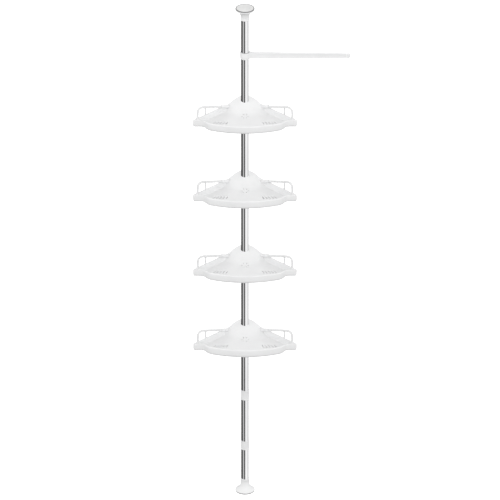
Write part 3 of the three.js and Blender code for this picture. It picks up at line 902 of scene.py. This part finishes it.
def add_foot(name, foot, body, cad_foot, cad_pad, flip_at=None):
    """A foot with its pad's ring and soft middle, upside down if it is given a height."""
    sections = [foot, pad_ring_section(), pad_centre_section()]
    if flip_at is not None:
        sections = [upside_down(section, flip_at) for section in sections]
    put_turned(f"foot_at_{name}", sections[0], WHITE, "white_plastic", body, [cad_foot])
    put_turned(f"pad_ring_{name}", sections[1], RUBBER, "rubber", body, [cad_pad])
    put_turned(f"pad_middle_{name}", sections[2], FOAM, "rubber", body)


def add_feet():
    total = high("ceiling_pad")
    spigot_r = EXTENSION_R - WALL - GAP
    spigot_top = FOOT_SOCKET_Z + SPIGOT_H
    foot = trumpet_section(high("floor_foot"), FOOT_SOCKET_Z, spigot_r, spigot_top)
    add_foot("floor", foot, "floor_stand", "floor_foot", "floor_pad")
    head = trumpet_section(total - low("ceiling_foot"), total - high("plunger") - GAP)
    add_foot("ceiling", head, "ceiling_head", "ceiling_foot", "ceiling_pad", total)


# ---- Towel arm ------------------------------------------------------------------------------

ARM_CAP_L = 12
ARM_DROOP = 2
ARM_BUSH_R = 13.9
ARM_RING_R = 15.6
ARM_ROOT_H = 21
ARM_ROOT_T = 10
ARM_TIP_H = 16
ARM_TIP_T = 7
ARM_CORNER_R = 2.2
ARM_GROOVE = 0.3  # depth of the shallow channel along both sides
ARM_FLARE_H = 0.6  # how much the bar grows into its collar
ARM_FLARE_T = 9


def arm_section(height, thickness, middle, x, groove):
    """The arm's section at x: a rounded bar with a shallow channel along both sides."""
    r = ARM_CORNER_R
    half_h, half_t = height / 2, thickness / 2
    edge = half_h - r - 0.6
    corner = []
    for k in range(5):
        angle = TAU / 4 * k / 4
        corner.append((half_t - r + r * math.cos(angle), half_h - r + r * math.sin(angle)))
    bed = half_t - groove
    channel = [(bed, 0), (bed, edge - 1.2), (half_t - groove / 2, edge - 0.6), (half_t, edge)]
    right_top = channel + corner
    left_top = [(-y, z) for y, z in reversed(right_top)]
    left_low = [(-y, -z) for y, z in right_top[1:]]
    right_low = [(y, -z) for y, z in reversed(right_top[1:])]
    points = right_top + left_top + left_low + right_low
    return np.array([(x, y, middle + z) for y, z in points])


def add_arm():
    """The arm with its collar, end cap and split bush. The bar grows into the collar, and its
    channel runs out before the collar and before the cap."""
    bottom, top = low("arm_bush_left"), high("arm_bush_left")
    z, half = (bottom + top) / 2, (top - bottom) / 2
    reach = high("arm_end_cap", 0)
    seam = reach - ARM_CAP_L
    flare = smooth_line([(0, 1), (14.5, 1), (19, 0.35), (26, 0), (reach, 0)], 2)
    depth = smooth_line([(0, 0), (30, 0), (38, 1), (seam - 12, 1), (seam - 4, 0), (reach, 0)], 1)

    def section(x, shrink=1.0):
        along = x / reach
        h = ARM_ROOT_H + (ARM_TIP_H - ARM_ROOT_H) * along + ARM_FLARE_H * float(flare(x))
        t = ARM_ROOT_T + (ARM_TIP_T - ARM_ROOT_T) * along + ARM_FLARE_T * float(flare(x))
        groove = 0.02 + ARM_GROOVE * float(depth(x)) * shrink
        return arm_section(h * shrink, t * shrink, -ARM_DROOP * along, x, groove)

    stations = [*np.linspace(9, 40, 15), *np.linspace(50, seam - 14, 12)]
    stations += [*np.linspace(seam - 12, seam, 6)]
    bar = as_mesh("arm", *loft([section(x) for x in stations], caps=True))
    bore = as_mesh("bore", *turned(ring_section(0.01, ARM_BUSH_R + GAP, -half - 5, half + 5)))
    ring = as_mesh("ring", *turned(softened(ring_section(0.01, ARM_RING_R, -half, half), 0.8)))
    arm = combined(combined(bar, [ring], "UNION"), [bore], "DIFFERENCE")
    shade(arm, SHARP_CUT_ANGLE)
    put("arm_with_collar", arm, WHITE, "arm", ["towel_arm"], z)
    cap_start = seam + GAP
    ends = [(cap_start, 0.97), (cap_start + 0.3, 1.0), (reach - 2.6, 1.0)]
    ends += [(reach - 1.4, 0.96), (reach - 0.5, 0.87), (reach, 0.7)]
    cap = as_mesh("cap", *loft([section(x, shrink) for x, shrink in ends], caps=True))
    put("arm_cap", cap, WHITE, "arm", ["arm_end_cap"], z)
    bush = softened(ring_section(BORE_R, ARM_BUSH_R, -half, half), 0.3)
    for side, sign in (("left", -1), ("right", 1)):
        mesh = as_mesh("arm_bush", *split_half(bush, sign))
        put(f"arm_liner_{side}", mesh, GREY, "arm_clamp", [f"arm_bush_{side}"], z)


# ---- Spring ---------------------------------------------------------------------------------

WIRE_R = 1.1
COIL_R = 8.4
COIL_TURNS = 7
COIL_STEPS = 24  # per turn


def add_spring():
    """The spring in the pole's top, which shortens as the ceiling foot gives."""
    bottom, top = low("tension_spring"), high("tension_spring")
    rise = top - bottom - 2 * WIRE_R
    around = np.arange(10) * TAU / 10
    rings = []
    for t in np.linspace(0, 1, COIL_TURNS * COIL_STEPS + 1):
        angle = t * COIL_TURNS * TAU
        outward = np.array([math.cos(angle), math.sin(angle), 0])
        centre = COIL_R * outward + (0, 0, bottom + WIRE_R + t * rise)
        section = np.outer(np.cos(around), outward) + np.outer(np.sin(around), (0, 0, 1))
        rings.append(centre + WIRE_R * section)
    mesh = as_mesh("spring", *loft(rings, caps=True))
    spring = put("coil_spring", mesh, STEEL, "pole", ["tension_spring"])
    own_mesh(spring)


def finish_inner_parts():
    """The parts that stay inside the pole keep their CAD shape."""
    finishes = {
        "extension_guide": GREY,
        "lock_collet": GREY,
        "tube_joint": STEEL,
        "spring_seat": GREY,
        "plunger_guide": GREY,
        "plunger": STEEL,
    }
    for node, material in finishes.items():
        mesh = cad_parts[node].data
        mesh.materials.clear()
        mesh.materials.append(material)


# ---- Studio ---------------------------------------------------------------------------------

OBJECT_MIDDLE = Vector((0, 0, 0.9))


def add_floor():
    """A pale, faintly glowing floor for the camera alone: the object gets no light from it."""
    mesh = bpy.data.meshes.new("floor")
    half = 60.0
    corners = [(-half, -half, 0), (half, -half, 0), (half, half, 0), (-half, half, 0)]
    mesh.from_pydata(corners, [], [(0, 1, 2, 3)])
    finish = Finish("pale_floor")
    finish.colour(finish.noise(0.7, 2), (0.95, 0.95, 0.95), (0.97, 0.97, 0.97))
    finish.shader.inputs["Roughness"].default_value = 0.9
    finish.shader.inputs["Emission Color"].default_value = (1, 1, 1, 1)
    finish.shader.inputs["Emission Strength"].default_value = 0.6
    mesh.materials.append(finish.material)
    floor = bpy.data.objects.new("floor", mesh)
    bpy.context.collection.objects.link(floor)
    floor.visible_glossy = False
    floor.visible_diffuse = False


def add_world():
    """White all round for the camera, softer from below for the object, and for the polished
    tubes a studio with dark flags on one side and a window of light on the other."""
    world = bpy.data.worlds.new("studio")
    bpy.context.scene.world = world
    world.use_nodes = True
    tree = world.node_tree
    tree.nodes.clear()

    def add(kind, **attributes):
        node = tree.nodes.new(kind)
        for key, value in attributes.items():
            setattr(node, key, value)
        return node

    direction = add("ShaderNodeTexCoord").outputs["Generated"]
    split = add("ShaderNodeSeparateXYZ")
    tree.links.new(direction, split.inputs[0])

    def ramp(source, low_value, high_value, stops):
        ranged = add("ShaderNodeMapRange")
        ranged.inputs["From Min"].default_value = low_value
        ranged.inputs["From Max"].default_value = high_value
        tree.links.new(source, ranged.inputs["Value"])
        node = add("ShaderNodeValToRGB")
        colours = node.color_ramp
        while len(colours.elements) < len(stops):
            colours.elements.new(0.5)
        for element, (at, value) in zip(colours.elements, stops):
            element.position = (at - low_value) / (high_value - low_value)
            element.color = (value, value, value, 1)
        tree.links.new(ranged.outputs["Result"], node.inputs["Fac"])
        return node.outputs["Color"]

    flip = add("ShaderNodeMath", operation="MULTIPLY")
    flip.inputs[1].default_value = -1
    tree.links.new(split.outputs["Y"], flip.inputs[0])
    turn = add("ShaderNodeMath", operation="ARCTAN2")
    tree.links.new(split.outputs["X"], turn.inputs[0])
    tree.links.new(flip.outputs[0], turn.inputs[1])
    degrees = add("ShaderNodeMath", operation="DEGREES")
    tree.links.new(turn.outputs[0], degrees.inputs[0])
    studio = [(-180, 0.0), (-100, 0.06), (-64, 0.15), (-58, 0.68), (-35, 0.68), (-29, 0.10)]
    studio += [(2, 0.10), (9, 0.95), (16, 1.03), (60, 1.03), (66, 0.88), (120, 0.82)]
    studio += [(165, 0.72), (176, 0.3), (180, 0.0)]
    around = ramp(degrees.outputs[0], -180, 180, studio)
    above = [(-1, 0.0), (0.15, 0.0), (0.35, 0.6), (1, 0.6)]
    overhead = ramp(split.outputs["Z"], -1, 1, above)
    sky = [(-1, 0.12), (-0.35, 0.60), (0, 0.92), (0.4, 1.20), (0.74, 0.96), (1, 0.50)]
    ambient = ramp(split.outputs["Z"], -1, 1, sky)
    path = add("ShaderNodeLightPath")

    def mix(factor, first, second):
        node = add("ShaderNodeMix", data_type="RGBA")
        tree.links.new(factor, node.inputs["Factor"])
        for name, value in (("A", first), ("B", second)):
            if isinstance(value, tuple):
                node.inputs[name].default_value = value
            else:
                tree.links.new(value, node.inputs[name])
        return node.outputs["Result"]

    glossy = mix(overhead, around, (0.35, 0.35, 0.35, 1))
    inner = mix(path.outputs["Is Glossy Ray"], ambient, glossy)
    outer = mix(path.outputs["Is Camera Ray"], inner, (1, 1, 1, 1))
    background = add("ShaderNodeBackground")
    tree.links.new(outer, background.inputs["Color"])
    output = add("ShaderNodeOutputWorld")
    tree.links.new(background.outputs[0], output.inputs["Surface"])


def add_light(name, place, size, power):
    """A round lamp that points at the object's middle."""
    lamp = bpy.data.lights.new(name, "AREA")
    lamp.shape = "DISK"
    lamp.size = size
    lamp.energy = power
    light = bpy.data.objects.new(name, lamp)
    bpy.context.collection.objects.link(light)
    light.location = place
    aim = OBJECT_MIDDLE - Vector(place)
    light.rotation_euler = aim.to_track_quat("-Z", "Y").to_euler()
    light.visible_camera = False


def add_camera():
    """A long lens, so that lines that are parallel on the object stay nearly so."""
    elevation = math.radians(27.5)
    distance = 75.0
    field = 1.6  # metres across the picture
    target = Vector((0.016, 0, 0.8714))
    camera = bpy.data.cameras.new("camera")
    camera.lens = camera.sensor_width * distance / field
    camera.clip_start = 1.0
    camera.clip_end = 400.0
    view = bpy.data.objects.new("camera", camera)
    bpy.context.collection.objects.link(view)
    back = Vector((0, -math.cos(elevation), math.sin(elevation)))
    view.location = target + back * distance
    view.rotation_euler = (-back).to_track_quat("-Z", "Y").to_euler()
    bpy.context.scene.camera = view


add_camera()
add_floor()
add_world()
add_light("key_left", (-3.7, -4.1, 4.4), 2.4, 48)
add_light("key_right", (3.7, -4.1, 4.4), 2.4, 42)
add_light("back_fill", (0, 4.6, 3.0), 3.0, 6)
bpy.context.scene.view_settings.view_transform = "Standard"

add_shelves()
add_pole()
add_feet()
add_arm()
add_spring()
finish_inner_parts()
